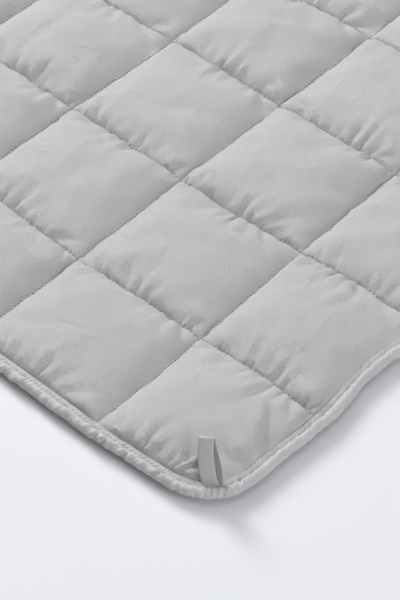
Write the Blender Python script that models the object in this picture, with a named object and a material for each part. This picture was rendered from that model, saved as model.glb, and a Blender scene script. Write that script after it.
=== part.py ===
"""Weighted blanket: a quilted, filled body with a bound edge and a folded tape loop at each corner.

The blanket lies flat. The origin is under its middle, on the surface that it lies on, X runs across
its width and Y along its length. Everything is in metres.

The body is drawn first as a plain rectangle of pockets, the pattern. place() then turns the
pattern's square corners into round ones and draws the sides in a little between the seams. The
binding is drawn on the same pattern, so it follows the body's edge all round.
"""

import math
from collections import namedtuple

import bmesh
import bpy
from mathutils import Vector

# Plan
WIDTH = 1.220
LENGTH = 1.830
COLUMNS = 10
ROWS = 15
PITCH = WIDTH / COLUMNS
CORNER_RADIUS = 0.060
DRAWN_IN = 0.0028
ARC_STEPS = 3  # from where a side starts to turn to the middle of the corner

# Heights above the surface
CROWN_TOP = 0.0225
CROWN_SPREAD = 0.0012
SEAM_TOP = 0.0075
SEAM_BOTTOM = 0.0055
FLANGE_TOP = 0.0094
FLANGE_BOTTOM = 0.0066

# Binding
GAP = 0.0003
TAPE = 0.0010
BINDING_WIDTH = 0.0108
BINDING_TOP = 0.0110
BINDING_BOTTOM = 0.0050
ROLL = 0.0022
FLANGE_EDGE = 0.0019
FLANGE_START = BINDING_WIDTH + GAP

# The crown of a pocket, ring by ring from its seams inwards. size: the ring against the pocket.
# middle and corner: how far up the crown the ring's sides and corners are. mids: whether the ring
# keeps the points between its corners.
CROWN_RINGS = (
    {"size": 0.78, "middle": 0.64, "corner": 0.42, "mids": True},
    {"size": 0.42, "middle": 1.00, "corner": 1.00, "mids": False},
)
# The underside sags to the surface, where it is flat.
SAG_RINGS = ({"size": 0.80, "middle": 1.00, "corner": 1.00, "mids": False},)

# Corner loop
LOOP_WIDTH = 0.012
LOOP_LEAN = math.radians(60)
LOOP_FOOT_INSET = BINDING_WIDTH + GAP + 0.0008
LOOP_FOOT_HEIGHT = 0.0114
# The two legs of the folded tape, from the foot to the fold. along: the way up the loop.
# front, back: how far each leg's middle stands off the loop's axis.
LOOP_LEGS = (
    {"along": 0.0000, "front": 0.0008, "back": 0.0008},
    {"along": 0.0050, "front": 0.0013, "back": 0.0018},
    {"along": 0.0128, "front": 0.0022, "back": 0.0036},
    {"along": 0.0222, "front": 0.0020, "back": 0.0036},
    {"along": 0.0305, "front": 0.0009, "back": 0.0020},
    {"along": 0.0335, "front": 0.0002, "back": 0.0008},
)

# Looks
SHARP_ANGLE = math.radians(50)
CLOTH_GREY = (0.52, 0.52, 0.525)
BINDING_GREY = (0.50, 0.50, 0.505)
LOOP_GREY = (0.47, 0.47, 0.475)

# A point of a pocket's outline: whether it is on the blanket's edge, and at a corner of the pocket.
OutlinePoint = namedtuple("OutlinePoint", "x y on_edge at_corner")

CORNERS = {
    "loop_near_left": (-1, -1),
    "loop_near_right": (1, -1),
    "loop_far_left": (-1, 1),
    "loop_far_right": (1, 1),
}


def clear_scene():
    """Take away whatever the scene holds."""
    for thing in list(bpy.data.objects):
        bpy.data.objects.remove(thing, do_unlink=True)


def make_material(name, colour, roughness):
    """A plain cloth material of this colour."""
    material = bpy.data.materials.new(name)
    material.use_nodes = True
    shader = material.node_tree.nodes["Principled BSDF"]
    shader.inputs["Base Color"].default_value = (*colour, 1.0)
    shader.inputs["Roughness"].default_value = roughness
    shader.inputs["Metallic"].default_value = 0.0
    material.diffuse_color = (*colour, 1.0)
    return material


def make_object(name, mesh_builder, material):
    """The builder's mesh as an object, closed and facing outwards."""
    bmesh.ops.remove_doubles(mesh_builder, verts=mesh_builder.verts, dist=1e-7)
    bmesh.ops.recalc_face_normals(mesh_builder, faces=mesh_builder.faces)
    mesh = bpy.data.meshes.new(name)
    mesh_builder.to_mesh(mesh)
    mesh_builder.free()
    mesh.shade_smooth()
    mesh.set_sharp_from_angle(angle=SHARP_ANGLE)
    mesh.materials.append(material)
    thing = bpy.data.objects.new(name, mesh)
    bpy.context.scene.collection.objects.link(thing)
    return thing


def drawn_in(depth, along, half_length):
    """How far a side is drawn in here: most between two seams, and nothing from the first seam in."""
    fade = 1.0 - (depth - FLANGE_START) / (PITCH - FLANGE_START)
    between_seams = math.sin(math.pi * (along + half_length) / PITCH) ** 2
    return DRAWN_IN * min(max(fade, 0.0), 1.0) * between_seams


def place(x, y, z):
    """A point of the pattern, where it lies on the blanket."""
    half_width, half_length = WIDTH / 2, LENGTH / 2
    in_x = drawn_in(half_width - abs(x), y, half_length)
    in_y = drawn_in(half_length - abs(y), x, half_width)
    centre_x, centre_y = half_width - CORNER_RADIUS, half_length - CORNER_RADIUS
    over_x, over_y = abs(x) - centre_x, abs(y) - centre_y
    if over_x > 0 and over_y > 0:
        reach = max(over_x, over_y)
        turn = math.radians(45) * min(over_x, over_y) / reach
        if over_y > over_x:
            turn = math.radians(90) - turn
        over_x, over_y = reach * math.cos(turn), reach * math.sin(turn)
    new_x = centre_x + over_x - in_x
    new_y = centre_y + over_y - in_y
    return Vector((math.copysign(new_x, x), math.copysign(new_y, y), z))


def side_steps(half, count, inset):
    """The points along one side of the pattern, from its first corner up to the next one's.

    They stand at each seam, halfway between seams, and evenly round the corners.
    """
    turn_start = half - CORNER_RADIUS
    reach = CORNER_RADIUS - inset
    turn = [turn_start + reach * step / ARC_STEPS for step in range(ARC_STEPS + 1)]
    seams = [PITCH * step / 2 - half for step in range(2, 2 * count - 1)]
    return [-step for step in reversed(turn)] + seams + turn


def perimeter(inset, z):
    """The pattern's edge, this far in from the outer edge, as points all the way round."""
    across = side_steps(WIDTH / 2, COLUMNS, inset)[:-1]
    along = side_steps(LENGTH / 2, ROWS, inset)[:-1]
    near, side = LENGTH / 2 - inset, WIDTH / 2 - inset
    flat = [(x, -near) for x in across]
    flat += [(side, y) for y in along]
    flat += [(-x, near) for x in across]
    flat += [(-side, -y) for y in along]
    return [place(x, y, z) for x, y in flat]


def seam_line(number, half, count):
    """Where a seam line runs. The first and the last are the inner edge of the flange."""
    if number == 0:
        return FLANGE_START - half
    if number == count:
        return half - FLANGE_START
    return number * PITCH - half


def side_points(low, high, on_edge, half, count, mids):
    """Where the points of a pocket's side stand, from its low end up to its high end."""
    if on_edge:
        steps = side_steps(half, count, FLANGE_START)
        tolerance = PITCH / 100
        return [s for s in steps if low - tolerance < s < high - tolerance]
    if mids:
        return [low, (low + high) / 2]
    return [low]


def pocket_outline(column, row, mids):
    """The pattern's points round one pocket: its near side, then its right, far and left ones."""
    left = seam_line(column, WIDTH / 2, COLUMNS)
    right = seam_line(column + 1, WIDTH / 2, COLUMNS)
    near = seam_line(row, LENGTH / 2, ROWS)
    far = seam_line(row + 1, LENGTH / 2, ROWS)
    on_near, on_far = row == 0, row == ROWS - 1
    on_left, on_right = column == 0, column == COLUMNS - 1
    across = (WIDTH / 2, COLUMNS, mids)
    along = (LENGTH / 2, ROWS, mids)
    sides = (
        (on_near, [(x, near) for x in side_points(left, right, on_near, *across)]),
        (on_right, [(right, y) for y in side_points(near, far, on_right, *along)]),
        (on_far, [(-x, far) for x in side_points(-right, -left, on_far, *across)]),
        (on_left, [(left, -y) for y in side_points(-far, -near, on_left, *along)]),
    )
    outline = []
    for index, (on_edge, points) in enumerate(sides):
        edge_before = sides[index - 1][0]
        for step, (x, y) in enumerate(points):
            at_corner = step == 0
            outline.append(OutlinePoint(x, y, on_edge or (at_corner and edge_before), at_corner))
    return outline


def add_face(mesh_builder, points):
    """A face on new points. Points in the same place are joined later."""
    mesh_builder.faces.new([mesh_builder.verts.new(point) for point in points])


def ring_of(outline, ring, top, base_heights):
    """One ring of a pocket: its outline drawn together round its middle, and raised."""
    xs = [point.x for point in outline]
    ys = [point.y for point in outline]
    middle_x, middle_y = (min(xs) + max(xs)) / 2, (min(ys) + max(ys)) / 2
    points = []
    for point, base in zip(outline, base_heights):
        rise = ring["corner"] if point.at_corner else ring["middle"]
        ring_x = middle_x + (point.x - middle_x) * ring["size"]
        ring_y = middle_y + (point.y - middle_y) * ring["size"]
        points.append(place(ring_x, ring_y, base + (top - base) * rise))
    return points


def add_pocket(mesh_builder, outline, rings, top, seam_height, flange_height):
    """One side of a pocket: ring by ring from its outline, closed by a flat face in the middle."""
    base_heights = [flange_height if point.on_edge else seam_height for point in outline]
    corners = [index for index, point in enumerate(outline) if point.at_corner]
    outer = [place(point.x, point.y, base) for point, base in zip(outline, base_heights)]
    for ring in rings:
        inner = ring_of(outline, ring, top, base_heights)
        if not ring["mids"]:
            last_corner = [max(c for c in corners if c <= index) for index in range(len(outline))]
            inner = [inner[corner] for corner in last_corner]
        for index in range(len(outline)):
            after = (index + 1) % len(outline)
            face = [outer[index], outer[after], inner[after]]
            if inner[after] != inner[index]:
                face.append(inner[index])
            add_face(mesh_builder, face)
        outer = inner
    add_face(mesh_builder, [outer[corner] for corner in corners])


def bridge(mesh_builder, ring_a, ring_b):
    """A closed band of faces between two rings with as many points."""
    for index in range(len(ring_a)):
        after = (index + 1) % len(ring_a)
        add_face(mesh_builder, [ring_a[index], ring_a[after], ring_b[after], ring_b[index]])


def crown_height(column, row):
    """The crowns differ a little, as the fill does."""
    return CROWN_TOP + CROWN_SPREAD * math.sin(2.1 * column + 3.7 * row)


def make_quilted_body(material):
    """The filled body: crowned pockets above, flat ones below, and the thin flange all round."""
    mesh_builder = bmesh.new()
    for column in range(COLUMNS):
        for row in range(ROWS):
            above = pocket_outline(column, row, mids=True)
            below = pocket_outline(column, row, mids=False)
            top = crown_height(column, row)
            add_pocket(mesh_builder, above, CROWN_RINGS, top, SEAM_TOP, FLANGE_TOP)
            add_pocket(mesh_builder, below, SAG_RINGS, 0.0, SEAM_BOTTOM, FLANGE_BOTTOM)
    flange = [
        perimeter(FLANGE_START, FLANGE_TOP),
        perimeter(FLANGE_EDGE, FLANGE_TOP),
        perimeter(FLANGE_EDGE, FLANGE_BOTTOM),
        perimeter(FLANGE_START, FLANGE_BOTTOM),
    ]
    for ring_a, ring_b in zip(flange, flange[1:]):
        bridge(mesh_builder, ring_a, ring_b)
    return make_object("quilted_body", mesh_builder, material)


def binding_section():
    """The tape's section as (inset, height): out over the flange, round its edge and back under it."""
    wall = FLANGE_EDGE - GAP
    over, under = FLANGE_TOP + GAP, FLANGE_BOTTOM - GAP
    return [
        (BINDING_WIDTH, over + TAPE),
        (ROLL, BINDING_TOP),
        (0.0, BINDING_TOP - ROLL),
        (0.0, BINDING_BOTTOM + ROLL),
        (ROLL, BINDING_BOTTOM),
        (BINDING_WIDTH, under - TAPE),
        (BINDING_WIDTH, under),
        (wall, under),
        (wall, over),
        (BINDING_WIDTH, over),
    ]


def make_binding(material):
    """The binding: its C-shaped section swept all the way round the edge."""
    mesh_builder = bmesh.new()
    rings = [perimeter(inset, height) for inset, height in binding_section()]
    for index in range(len(rings)):
        bridge(mesh_builder, rings[index - 1], rings[index])
    return make_object("binding", mesh_builder, material)


def loop_centre_line():
    """The middle of the folded tape: up the front leg, over the fold and down the back leg."""
    front = [Vector((row["along"], -row["front"])) for row in LOOP_LEGS]
    back = [Vector((row["along"], row["back"])) for row in reversed(LOOP_LEGS)]
    return front + back


def loop_sides():
    """The tape's two faces, half a thickness to each side of its middle."""
    line = loop_centre_line()
    outer, inner = [], []
    for index, point in enumerate(line):
        before = line[max(index - 1, 0)]
        after = line[min(index + 1, len(line) - 1)]
        heading = (after - before).normalized()
        normal = Vector((heading.y, -heading.x))
        outer.append(point - normal * TAPE / 2)
        inner.append(point + normal * TAPE / 2)
    return outer, inner


def make_loop(name, side_x, side_y, material):
    """A corner loop: the folded tape, leaning over the blanket from the inner edge of the binding."""
    inward = Vector((-side_x, -side_y, 0)).normalized()
    up = Vector((0, 0, 1))
    across = up.cross(inward)
    arc_centre = Vector((side_x * (WIDTH / 2 - CORNER_RADIUS), side_y * (LENGTH / 2 - CORNER_RADIUS), 0))
    foot = arc_centre - inward * (CORNER_RADIUS - LOOP_FOOT_INSET) + up * LOOP_FOOT_HEIGHT
    axis = inward * math.cos(LOOP_LEAN) + up * math.sin(LOOP_LEAN)
    away = inward * math.sin(LOOP_LEAN) - up * math.cos(LOOP_LEAN)

    outer, inner = loop_sides()
    section = outer + inner[::-1]
    edges = []
    for side in (-1, 1):
        shift = across * side * LOOP_WIDTH / 2
        edges.append([foot + shift + axis * point.x + away * point.y for point in section])
    mesh_builder = bmesh.new()
    bridge(mesh_builder, *edges)
    steps = len(outer)
    for edge in edges:
        for index in range(steps - 1):
            face = [edge[index], edge[index + 1], edge[-index - 2], edge[-index - 1]]
            add_face(mesh_builder, face)
    return make_object(name, mesh_builder, material)


def main():
    """Build the blanket: body, binding and four corner loops."""
    clear_scene()
    cloth = make_material("grey_cloth", CLOTH_GREY, 0.9)
    tape = make_material("grey_binding_tape", BINDING_GREY, 0.85)
    loop_tape = make_material("grey_loop_tape", LOOP_GREY, 0.85)
    make_quilted_body(cloth)
    make_binding(tape)
    for name, (side_x, side_y) in CORNERS.items():
        make_loop(name, side_x, side_y, loop_tape)


main()
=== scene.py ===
# %% [markdown]
# # A quilted weighted blanket
#
# The blanket is two layers of light grey cloth with a fill between them. Straight seams cross it and
# make 10 by 15 square pockets, so the heavy fill can't wander. A tape is folded round the edge and
# sewn down, and a folded loop of flat tape stands at each corner, for tying a cover to it.
#
# This lesson builds what the eye sees around a fixed model of the same blanket. Its parts are the
# filled body, its stitches, the binding, the four loops, and then the cloth, the light and the floor.

# %% Load the fixed model
import math

import bpy
import numpy as np
from mathutils import Matrix, Vector


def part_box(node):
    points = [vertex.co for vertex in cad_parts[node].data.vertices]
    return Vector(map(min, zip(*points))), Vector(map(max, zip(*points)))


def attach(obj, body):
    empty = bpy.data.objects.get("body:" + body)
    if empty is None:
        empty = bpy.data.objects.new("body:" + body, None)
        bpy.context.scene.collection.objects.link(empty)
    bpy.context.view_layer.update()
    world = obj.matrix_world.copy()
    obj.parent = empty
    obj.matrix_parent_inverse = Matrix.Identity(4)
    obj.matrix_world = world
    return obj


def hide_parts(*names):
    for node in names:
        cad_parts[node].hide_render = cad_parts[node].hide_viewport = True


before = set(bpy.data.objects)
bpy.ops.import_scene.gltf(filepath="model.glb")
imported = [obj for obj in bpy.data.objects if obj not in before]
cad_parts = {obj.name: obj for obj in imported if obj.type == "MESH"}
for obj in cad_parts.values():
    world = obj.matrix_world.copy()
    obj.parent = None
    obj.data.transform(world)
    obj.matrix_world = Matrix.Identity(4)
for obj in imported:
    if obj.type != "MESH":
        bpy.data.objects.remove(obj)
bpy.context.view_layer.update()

# %% [markdown]
# ## Sizes
#
# The outside size is read from the fixed model, so that the two agree. The rest are the sizes that a
# maker would write on the pattern: how many pockets, how thick the seams are, how wide the binding is.

# %% Sizes of the blanket, in metres
edge_low, edge_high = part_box("binding")
WIDTH, LENGTH = (round(edge_high[axis] - edge_low[axis], 4) for axis in (0, 1))
HALF_WIDTH, HALF_LENGTH = WIDTH / 2, LENGTH / 2
COLUMNS, ROWS = 10, 15
PITCH = WIDTH / COLUMNS
CORNER_RADIUS = 0.060
TRIM, DRAWN_IN = 0.0013, 0.0034
CROWN_TOP, CROWN_SPREAD = 0.0225, 0.0012
SEAM_TOP, SEAM_BOTTOM = 0.0075, 0.0055
FLANGE_TOP, FLANGE_BOTTOM = 0.0094, 0.0066
FLANGE_START, FLANGE_EDGE = 0.0111, 0.0019
print(f"{COLUMNS} by {ROWS} pockets of {1000 * PITCH:.0f} mm, {WIDTH} by {LENGTH} m")

# %% [markdown]
# ## From the flat pattern to the blanket
#
# Everything is drawn on a plain rectangle first, the pattern, where seams are straight and corners
# are square. One function then carries a pattern point to its place. It turns the square corners into
# round ones, pulls the sides in a little between the seams, and lets the seams wander by about a
# millimetre, because nobody sews 1.8 m perfectly straight. The body, the stitches and the binding all
# use it, so they keep together whatever the shape does.

# %% Waves, bells and tables
RANDOM = np.random.default_rng(20)


def table(names, *rows):
    """Rows of numbers with named columns."""
    return [dict(zip(names.split(), row)) for row in rows]


def bell(distance, width):
    """One in the middle, and dying away to both sides: e to the minus square of distance over width."""
    return np.exp(-((distance / width) ** 2))


def waves(count, shortest, longest):
    """Random plane waves: each one's direction times 2 pi over its length, its phase and its share."""
    length = RANDOM.uniform(shortest, longest, count)
    heading = RANDOM.uniform(0, 2 * np.pi, count)
    across = 2 * np.pi / length * np.cos(heading)
    along = 2 * np.pi / length * np.sin(heading)
    return across, along, RANDOM.uniform(0, 2 * np.pi, count), np.sqrt(2 / count)


def ripple(x, y, wave_set):
    """The sum of a set of waves at each point: it swings about zero by about 1."""
    across, along, phase, share = wave_set
    angle = x[..., None] * across + y[..., None] * along + phase
    return share * np.cos(angle).sum(axis=-1)


print("one width from its middle a bell is down to", round(float(bell(1.0, 1.0)), 2))

# %% Carry pattern points to their places
WANDER, WANDER_START, WANDER_FADE = 0.0009, 0.01, 0.05
WANDER_X, WANDER_Y = waves(9, 0.16, 0.5), waves(9, 0.16, 0.5)
SHAKE, SHAKE_X, SHAKE_Y = 0.00028, waves(24, 0.008, 0.024), waves(24, 0.008, 0.024)
WANDERS = table(
    # seams that stray further: the seam along the blanket, how far up it in pockets, and millimetres
    "seam row shift",
    (1, 0.4, 3.0), (1, 2.7, 4.2), (2, 0.4, 3.4),
    (2, 1.6, -3.4), (2, 3.4, 2.4), (4, 5.5, -3.0),
    (6, 2.5, 3.2), (7, 9.5, -3.6), (3, 11.5, 3.0),
)
STRAY_REACH = 0.05
DRAW_SHARE, DRAW_SWING, SIDE_SWING, END_SWING = 0.6, 0.5, 0.37, 1.60


def strays(x, y):
    """The sum of the table's shifts, each a bell that fades over half a pocket to every side."""
    total = np.zeros_like(x)
    for row in WANDERS:
        from_seam = x - (row["seam"] * PITCH - HALF_WIDTH)
        from_row = y - (row["row"] * PITCH - HALF_LENGTH)
        total += row["shift"] / 1000 * np.exp(-(from_seam**2 + from_row**2) / STRAY_REACH**2)
    return total


def drawn_in(depth, along, half, swing):
    """How far a side is pulled in, fading over one pocket: a little all along, and most at
    mid-pocket, by the square of a sine. How much it is swings along the side, once in this length."""
    fade = np.clip(1 - (depth - FLANGE_START) / (PITCH - FLANGE_START), 0, 1)
    share = DRAW_SHARE + DRAW_SWING * np.cos(2 * np.pi * (along + half) / swing)
    return fade * (TRIM + DRAWN_IN * share * np.sin(np.pi * (along + half) / PITCH) ** 2)


def place(x, y, z):
    """Pattern points to blanket points.

    Past the centre of a corner's arc, a point goes to the distance max(over_x, over_y) from it, and
    turns by 45 degrees times the smaller over the larger, which bends squares into circles.
    """
    x, y, z = np.broadcast_arrays(x, y, z)
    in_x = drawn_in(HALF_WIDTH - abs(x), y, HALF_LENGTH, SIDE_SWING)
    in_y = drawn_in(HALF_LENGTH - abs(y), x, HALF_WIDTH, END_SWING)
    over_x = abs(x) - (HALF_WIDTH - CORNER_RADIUS)
    over_y = abs(y) - (HALF_LENGTH - CORNER_RADIUS)
    reach, small = np.maximum(over_x, over_y), np.minimum(over_x, over_y)
    turn = np.pi / 4 * small / np.where(reach > 0, reach, 1)
    turn = np.where(over_y > over_x, np.pi / 2 - turn, turn)
    in_corner = small > 0
    over_x = np.where(in_corner, reach * np.cos(turn), over_x)
    over_y = np.where(in_corner, reach * np.sin(turn), over_y)
    depth = np.minimum(HALF_WIDTH - abs(x), HALF_LENGTH - abs(y))
    inside = np.clip((depth - WANDER_START) / WANDER_FADE, 0, 1)
    new_x = np.sign(x) * (HALF_WIDTH - CORNER_RADIUS + over_x - in_x)
    new_y = np.sign(y) * (HALF_LENGTH - CORNER_RADIUS + over_y - in_y)
    shift_x = WANDER * ripple(x, y, WANDER_X) + SHAKE * ripple(x, y, SHAKE_X) + strays(x, y)
    shift_y = WANDER * ripple(x, y, WANDER_Y) + SHAKE * ripple(x, y, SHAKE_Y)
    new_x, new_y = new_x + inside * shift_x, new_y + inside * shift_y
    return np.stack([new_x, new_y, z], axis=-1)


print("a corner of the pattern goes to", place(HALF_WIDTH, HALF_LENGTH, 0).round(4))

# %% [markdown]
# ## One way to make a mesh
#
# A surface is an array of points with rows and columns, and each four neighbours make a face. Writing
# whole arrays into the mesh at once keeps this quick, even with hundreds of thousands of points.

# %% Faces from grids of points
def grid_faces(numbers, wrap_rows=False, wrap_columns=False):
    """The four-sided faces between neighbouring rows and columns of a table of point numbers."""
    if wrap_rows:
        numbers = np.concatenate([numbers, numbers[:1]], axis=0)
    if wrap_columns:
        numbers = np.concatenate([numbers, numbers[:, :1]], axis=1)
    corners = (numbers[:-1, :-1], numbers[1:, :-1], numbers[1:, 1:], numbers[:-1, 1:])
    return np.stack(corners, axis=-1).reshape(-1, 4)


def make_piece(name, points, face_sets, flat_map=None, once_round=None):
    """A smooth mesh object from points and lists of faces, with an optional flat map for its cloth.

    Where a flat map runs once round a ring, the last faces end at the full length, not at zero.
    """
    points = np.ascontiguousarray(points, dtype=np.float32).reshape(-1, 3)
    sizes = np.concatenate([np.full(len(faces), faces.shape[1]) for faces in face_sets])
    corners = np.concatenate([faces.reshape(-1) for faces in face_sets])
    mesh = bpy.data.meshes.new(name)
    mesh.vertices.add(len(points))
    mesh.vertices.foreach_set("co", points.reshape(-1))
    mesh.loops.add(len(corners))
    mesh.loops.foreach_set("vertex_index", corners.astype(np.int32))
    mesh.polygons.add(len(sizes))
    starts = np.concatenate([[0], np.cumsum(sizes)[:-1]])
    mesh.polygons.foreach_set("loop_start", starts.astype(np.int32))
    if flat_map is not None:
        layer = mesh.uv_layers.new(name="pattern")
        flat = np.asarray(flat_map, dtype=np.float32).reshape(-1, 2)[corners]
        if once_round:
            highest = np.maximum.reduceat(flat[:, 0], starts)
            flat[:, 0] += once_round * (np.repeat(highest, sizes) - flat[:, 0] > once_round / 2)
        layer.uv.foreach_set("vector", flat.reshape(-1))
    mesh.update(calc_edges=True)
    mesh.validate()
    mesh.shade_smooth()
    piece = bpy.data.objects.new(name, mesh)
    bpy.context.scene.collection.objects.link(piece)
    return piece


def triangles(piece):
    """How many triangles a piece has, with its modifiers."""
    evaluated = piece.evaluated_get(bpy.context.evaluated_depsgraph_get())
    return sum(len(face.vertices) - 2 for face in evaluated.data.polygons)


print("a grid of 4 by 5 points has", len(grid_faces(np.arange(20).reshape(4, 5))), "faces")

# %% [markdown]
# ## The cloth of one pocket
#
# What makes quilting look soft is not only the dome. The cloth of a pocket is a little longer than
# the seam that it is gathered onto, so it buckles into short puckers that run away from the seam, and
# into creases that fan out of the corners. Drawing those by hand looks stiff. So the cloth is
# simulated: each sample pocket starts as a flat piece that is a few percent too large, its border is
# drawn in to the seam over the first frames, and the pressure of the fill lifts the middle. The seams
# that run along the blanket are gathered more than those that run across it, in uneven stretches.

# %% The cloth of a few sample pockets, before it is sewn
GRID, SAMPLES = 48, 10
SETTLE_FRAMES, DRAW_FRAMES = 24, 10
SPARE_ALONG, SPARE_ACROSS, SPARE_MIDDLE, SPARE_UNEVEN = 0.050, 0.003, 0.030, 0.8
LOWEST, HIGHEST = -0.001, 0.019
APART, START_DOME, START_UNEVENNESS = 1.3, 0.03, 0.0025  # in pockets


def gathered(steps, spare):
    """Where cloth points along a border lie before it is gathered: the running sum of 1 + spare,
    with spare swinging by an uneven share in stretches a few centimetres long."""
    wave = sum(
        RANDOM.normal() * np.cos(2 * np.pi * (number * steps + RANDOM.uniform()))
        for number in (1, 2, 3, 4)
    )
    stretch = 1 + spare * np.maximum(1 + SPARE_UNEVEN * wave, 0.0)
    middle = (stretch[1:] + stretch[:-1]) / 2
    total = np.concatenate([[0], np.cumsum(middle)]) / (len(steps) - 1)
    return total - total[-1] / 2


def sample_cloth(samples):
    """Starting cloth and drawn-in border target of each sample, as [sample, i, j, 3] arrays. The
    starting cloth is a low dome, one minus a power of each coordinate, with a faint unevenness."""
    steps = np.linspace(-0.5, 0.5, GRID + 1)
    u, v = np.meshgrid(steps, steps, indexing="ij")
    near_side, near_end = abs(2 * u) ** 4, abs(2 * v) ** 4
    flat = np.zeros((samples, GRID + 1, GRID + 1, 3))
    drawn = np.zeros_like(flat)
    dome = (1 - abs(2 * u) ** 2.2) * (1 - abs(2 * v) ** 2.2)
    for number in range(samples):
        left, right = gathered(steps, SPARE_ALONG), gathered(steps, SPARE_ALONG)
        near, far = gathered(steps, SPARE_ACROSS), gathered(steps, SPARE_ACROSS)
        side_v = np.where(u < 0, left[None, :], right[None, :])
        end_u = np.where(v < 0, near[:, None], far[:, None])
        flat[number, ..., 0] = (1 - near_end) * u * (1 + SPARE_MIDDLE) + near_end * end_u
        flat[number, ..., 1] = (1 - near_side) * v * (1 + SPARE_MIDDLE) + near_side * side_v
        unevenness = ripple(u, v, waves(40, 0.09, 0.5)) * (1 - near_side) * (1 - near_end)
        flat[number, ..., 2] = START_DOME * dome + START_UNEVENNESS * unevenness
        drawn[number, ..., 0], drawn[number, ..., 1] = u, v
        flat[number, ..., 0] += APART * number
        drawn[number, ..., 0] += APART * number
    return PITCH * flat, PITCH * drawn


print("each sample has", (GRID + 1) ** 2, "points and", SPARE_ALONG, "to spare along its gathered seams")

# %% Simulate them
def hang_cloth(flat, drawn):
    """All of the samples as one mesh under a Cloth modifier, with the borders held and drawn in."""
    numbers = np.arange(flat[..., 0].size).reshape(flat.shape[:3])
    faces = np.concatenate([grid_faces(sheet) for sheet in numbers])
    cloth = make_piece("sample_pockets", flat, [faces])
    sides = (numbers[:, 0], numbers[:, -1], numbers[:, :, 0], numbers[:, :, -1])
    border = np.concatenate([side.ravel() for side in sides])
    pins = cloth.vertex_groups.new(name="seam")
    pins.add([int(number) for number in np.unique(border)], 1.0, "REPLACE")
    cloth.shape_key_add(name="cut")
    sewn = cloth.shape_key_add(name="sewn")
    sewn.data.foreach_set("co", drawn.astype(np.float32).reshape(-1))
    for frame_number, value in ((1, 0.0), (1 + DRAW_FRAMES, 1.0)):
        sewn.value = value
        sewn.keyframe_insert("value", frame=frame_number)
    modifier = cloth.modifiers.new("fabric", "CLOTH")
    modifier.point_cache.frame_end = SETTLE_FRAMES
    modifier.collision_settings.use_collision = False
    fabric = modifier.settings
    fabric.vertex_group_mass = "seam"
    fabric.mass = 0.003
    fabric.tension_stiffness = fabric.compression_stiffness = 15
    fabric.shear_stiffness = 5
    fabric.quality = 7
    fabric.bending_stiffness = 70
    fabric.use_pressure = True
    fabric.uniform_pressure_force = 350
    fabric.effector_weights.gravity = 0
    return cloth


def simulate_pockets(samples):
    """Sample pockets after the cloth has settled, centred, as a [sample, i, j, 3] array in metres."""
    flat, drawn = sample_cloth(samples)
    cloth = hang_cloth(flat, drawn)
    scene = bpy.context.scene
    for frame_number in range(1, SETTLE_FRAMES + 1):  # a simulation needs every frame in turn
        scene.frame_set(frame_number)
    settled = cloth.evaluated_get(bpy.context.evaluated_depsgraph_get()).data
    points = np.empty(flat.size, dtype=np.float32)
    settled.vertices.foreach_get("co", points)
    scene.frame_set(1)
    mesh, keys = cloth.data, cloth.data.shape_keys
    action = keys.animation_data.action
    bpy.data.objects.remove(cloth)
    bpy.data.meshes.remove(mesh)
    bpy.data.actions.remove(action)
    points = points.reshape(flat.shape).astype(float)
    points[..., 0] -= APART * PITCH * np.arange(samples)[:, None, None]
    return points


pockets = simulate_pockets(SAMPLES)
pockets[..., 2] = np.clip(pockets[..., 2], LOWEST, HIGHEST)
print("crowns stand", (1000 * pockets[..., 2].max(axis=(1, 2))).round(1), "mm above their seams")

# %% Fullness and creases
BLUR = 4.0
FULL_ACROSS, FULL_ALONG = 1.5, 1.12
KEEP_NEAR, KEEP_FAR, KEEP_REACH, KEEP_ACROSS = 1.3, 0.7, 0.022, 0.6
DARTS, DART_SIZE = 13, 0.00075


def blurred(rise, axis):
    """A running average along one axis, with weights that fall off on both sides as a bell does."""
    reach = int(3 * BLUR)
    offsets = np.arange(-reach, reach + 1)
    weights = np.exp(-0.5 * (offsets / BLUR) ** 2)
    margins = [(0, 0)] * rise.ndim
    margins[axis] = (reach, reach)
    padded = np.pad(rise, margins, mode="reflect", reflect_type="odd")
    wide = np.moveaxis(padded, axis, 0)
    total = sum(weight * wide[reach + offset : reach + offset + rise.shape[axis]]
                for weight, offset in zip(weights / weights.sum(), offsets))
    return np.moveaxis(total, 0, axis)


def fill_out(rise):
    """Creases are kept beside the seam that gathers them and fade towards the middle, and the crown
    is fuller than a bubble: one minus a power of its distance below the top. The power is higher
    beside the gathered seams than beside the others."""
    to_seam = PITCH * (0.5 - abs(np.linspace(-0.5, 0.5, GRID + 1)))
    keep = KEEP_FAR + (KEEP_NEAR - KEEP_FAR) * bell(to_seam, KEEP_REACH)
    creases_along, creases_across = rise - blurred(rise, 2), rise - blurred(rise, 1)
    rise = rise + (keep[:, None] - 1) * creases_along + (KEEP_ACROSS - 1) * creases_across
    top = rise.max(axis=(1, 2), keepdims=True)
    # the tiny lengths keep the corners, where both distances are zero, from dividing by zero
    nearer_gathered = (to_seam + 1e-4) / (to_seam[:, None] + to_seam + 2e-4)
    power = FULL_ALONG + (FULL_ACROSS - FULL_ALONG) * nearer_gathered
    return top * (1 - (1 - rise / top) ** power)


def darts(u, v):
    """Short ridges that start at the two gathered seams: each is a bell across its own line, and
    along it rises from the seam and dies away as distance times e to the minus distance."""
    total = np.zeros_like(u)
    for side in (-0.5, 0.5):
        starts = (np.arange(DARTS) + RANDOM.uniform(0.1, 0.9, DARTS)) / DARTS - 0.5
        for start in starts:
            size, width = DART_SIZE * RANDOM.uniform(0.1, 1.0) ** 1.5, RANDOM.uniform(0.0022, 0.0042)
            peak, slant = RANDOM.uniform(0.0025, 0.0070), RANDOM.normal() * 0.35
            from_seam = PITCH * abs(u - side)
            aside = PITCH * (v - start) - slant * from_seam
            total += size * bell(aside, width) * from_seam / peak * np.exp(1 - from_seam / peak)
    return total


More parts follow.
